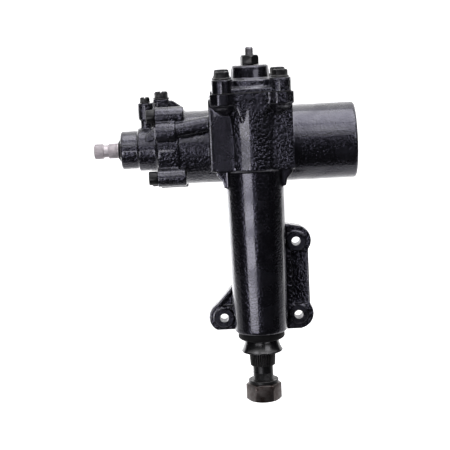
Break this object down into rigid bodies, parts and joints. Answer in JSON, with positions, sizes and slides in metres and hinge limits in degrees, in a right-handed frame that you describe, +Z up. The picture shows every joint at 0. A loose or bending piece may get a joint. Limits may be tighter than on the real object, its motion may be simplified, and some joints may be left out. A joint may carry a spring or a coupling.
{
  "type": "steering gearbox",
  "caption": "Integral power steering gear: a valve-driven ball screw moves a rack piston that swings a toothed sector shaft, in a cast housing with bolt-on ears.",
  "frame": {"origin": "On the rear mounting face, straight behind the sector shaft's axis and level with the two lower mounting holes.", "axes": "+Z runs up the sector shaft from its output end to the cover, +X along the piston to the cylinder's closed end, and +Y out of the mounting face, away from the gearbox."},
  "size_m": [0.309, 0.1522, 0.412],
  "materials": {
    "black_paint": "glossy black paint over a sand-cast surface",
    "black_steel": "blackened steel, satin",
    "machined_steel": "machined, lightly oiled",
    "bright_steel": "ground, bright",
    "brown_steel": "dark brown-grey phosphate",
    "black_rubber": "moulded, slightly glossy",
    "bearing_bronze": "bored",
    "ring_polymer": "filled polymer",
    "gasket_fibre": "pressed fibre sheet"
  },
  "bodies": {
    "housing": {"gear_housing": "black_paint", "cover_gasket": "gasket_fibre", "sector_cover": "black_paint", "cover_bolt_1": "black_steel", "cover_bolt_2": "black_steel", "cover_bolt_3": "black_steel", "cover_bolt_4": "black_steel", "adjuster_screw": "black_steel", "adjuster_lock_nut": "black_steel", "cover_bushing": "bearing_bronze", "upper_needle_bearing": "machined_steel", "lower_needle_bearing": "machined_steel", "sector_oil_seal": "black_rubber", "seal_washer": "machined_steel", "seal_snap_ring": "machined_steel", "dust_ring": "black_rubber", "valve_housing": "black_paint", "worm_bearing_race": "machined_steel", "bearing_retainer": "machined_steel", "input_needle_bearing": "machined_steel", "input_oil_seal": "black_rubber", "input_dust_cap": "black_rubber", "joint_seal_ring": "black_rubber", "valve_bolt_1": "black_steel", "valve_bolt_2": "black_steel", "valve_bolt_3": "black_steel", "valve_bolt_4": "black_steel", "return_port_plug": "black_steel", "pressure_port_plug": "black_steel"},
    "sector": {"sector_shaft": "black_steel", "dust_boot": "black_rubber", "lock_washer": "black_steel", "pitman_nut": "brown_steel"},
    "piston": {"rack_piston": "machined_steel", "ball_return_guide": "machined_steel", "guide_clamp": "machined_steel", "clamp_screw_1": "machined_steel", "clamp_screw_2": "machined_steel", "ball_1": "bright_steel", "ball_2": "bright_steel", "ball_3": "bright_steel", "ball_4": "bright_steel", "ball_5": "bright_steel", "ball_6": "bright_steel", "ball_7": "bright_steel", "ball_8": "bright_steel", "piston_ring": "ring_polymer", "piston_end_plug": "machined_steel"},
    "worm": {"worm_shaft": "machined_steel", "worm_bearing_rollers": "bright_steel", "valve_sleeve": "machined_steel", "sleeve_ring_1": "ring_polymer", "sleeve_ring_2": "ring_polymer", "sleeve_ring_3": "ring_polymer"},
    "input": {"input_shaft": "bright_steel", "torsion_bar": "machined_steel", "torsion_pin": "machined_steel"}
  },
  "joints": [
    {"name": "sector_swing", "type": "hinge", "parent": "housing", "child": "sector", "pos_m": [0, -0.036, 0.2], "axis": [0, 0, 1], "range_deg": [-45, 45]},
    {"name": "piston_slide", "type": "slide", "parent": "housing", "child": "piston", "axis": [1, 0, 0], "range_m": [-0.0256, 0.0256]},
    {"name": "worm_spin", "type": "hinge", "parent": "housing", "child": "worm", "pos_m": [0, 0.02, 0.2], "axis": [1, 0, 0], "range_deg": [-725, 725]},
    {"name": "input_twist", "type": "hinge", "parent": "worm", "child": "input", "pos_m": [0, 0.02, 0.2], "axis": [1, 0, 0], "range_deg": [-7, 7], "stiffness_Nm_per_rad": 60}
  ],
  "couplings": [
    {"joint": "piston_slide", "follows": "sector_swing", "m_per_rad": -0.0325},
    {"joint": "worm_spin", "follows": "sector_swing", "ratio": 16.079}
  ]
}
